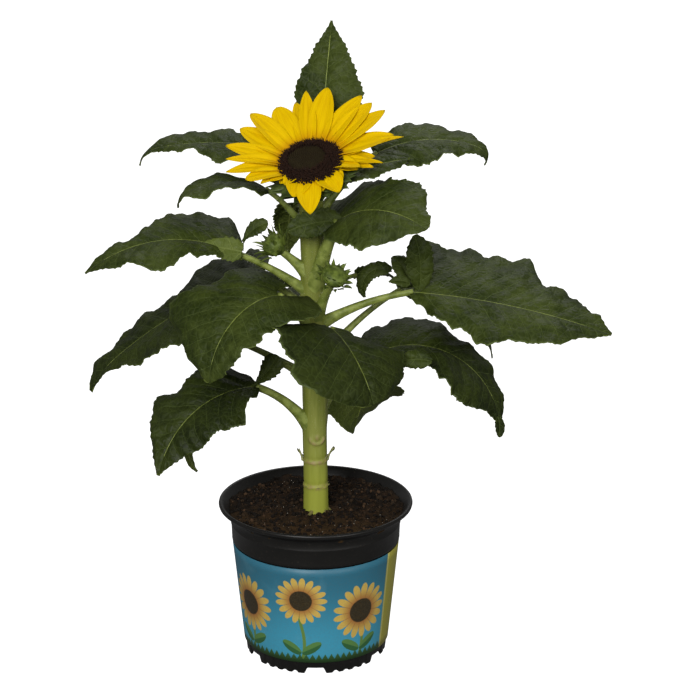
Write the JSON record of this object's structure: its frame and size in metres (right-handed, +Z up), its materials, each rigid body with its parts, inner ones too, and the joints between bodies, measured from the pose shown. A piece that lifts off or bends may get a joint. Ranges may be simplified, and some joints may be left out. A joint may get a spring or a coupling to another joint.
{
  "type": "potted dwarf sunflower plant",
  "caption": "Dwarf sunflower with one open bloom, two side buds and broad drooping leaves on a thick stem, growing in a round black nursery pot with a paper sleeve.",
  "frame": {"origin": "middle of the pot's flat underside", "axes": "+Z up along the main stem, -Y towards the side the bloom nods to"},
  "size_m": [0.3527, 0.2161, 0.4244],
  "materials": {
    "pot_plastic": "moulded black plastic with a soft sheen",
    "sleeve_paper": "printed coated paper",
    "peat": "crumbly moist dark peat",
    "stem_skin": "ribbed pale green skin with fine white hairs",
    "leaf": "rough dark green leaf with sunken veins",
    "bud": "hairy green bracts",
    "petal": "soft yellow petal with fine grooves",
    "disc_florets": "velvety dark brown florets"
  },
  "bodies": {
    "root": {"pot": "pot_plastic", "label_sleeve": "sleeve_paper", "soil": "peat", "stem": "stem_skin", "back_left_upper_blade": "leaf", "back_left_upper_stalk": "stem_skin", "back_low_blade": "leaf", "back_low_stalk": "stem_skin", "back_middle_blade": "leaf", "back_middle_stalk": "stem_skin", "back_right_low_blade": "leaf", "back_right_low_stalk": "stem_skin", "back_right_upper_blade": "leaf", "back_right_upper_stalk": "stem_skin", "bud_left": "bud", "bud_left_stalk": "stem_skin", "bud_right": "bud", "bud_right_stalk": "stem_skin", "calyx": "leaf", "disc": "disc_florets", "front_low_blade": "leaf", "front_low_stalk": "stem_skin", "front_right_upper_blade": "leaf", "front_right_upper_stalk": "stem_skin", "left_back_blade": "leaf", "left_back_stalk": "stem_skin", "left_front_blade": "leaf", "left_front_stalk": "stem_skin", "left_middle_blade": "leaf", "left_middle_stalk": "stem_skin", "left_top_blade": "leaf", "left_top_stalk": "stem_skin", "left_upper_blade": "leaf", "left_upper_stalk": "stem_skin", "low_left_blade": "leaf", "low_left_hanging_blade": "leaf", "low_left_hanging_stalk": "stem_skin", "low_left_stalk": "stem_skin", "rays": "petal", "right_back_blade": "leaf", "right_back_stalk": "stem_skin", "right_inner_blade": "leaf", "right_inner_stalk": "stem_skin", "right_low_blade": "leaf", "right_low_stalk": "stem_skin", "right_middle_blade": "leaf", "right_middle_stalk": "stem_skin", "right_top_blade": "leaf", "right_top_small_blade": "leaf", "right_top_small_stalk": "stem_skin", "right_top_stalk": "stem_skin", "top_upright_blade": "leaf", "top_upright_stalk": "stem_skin"}
  },
  "joints": []
}
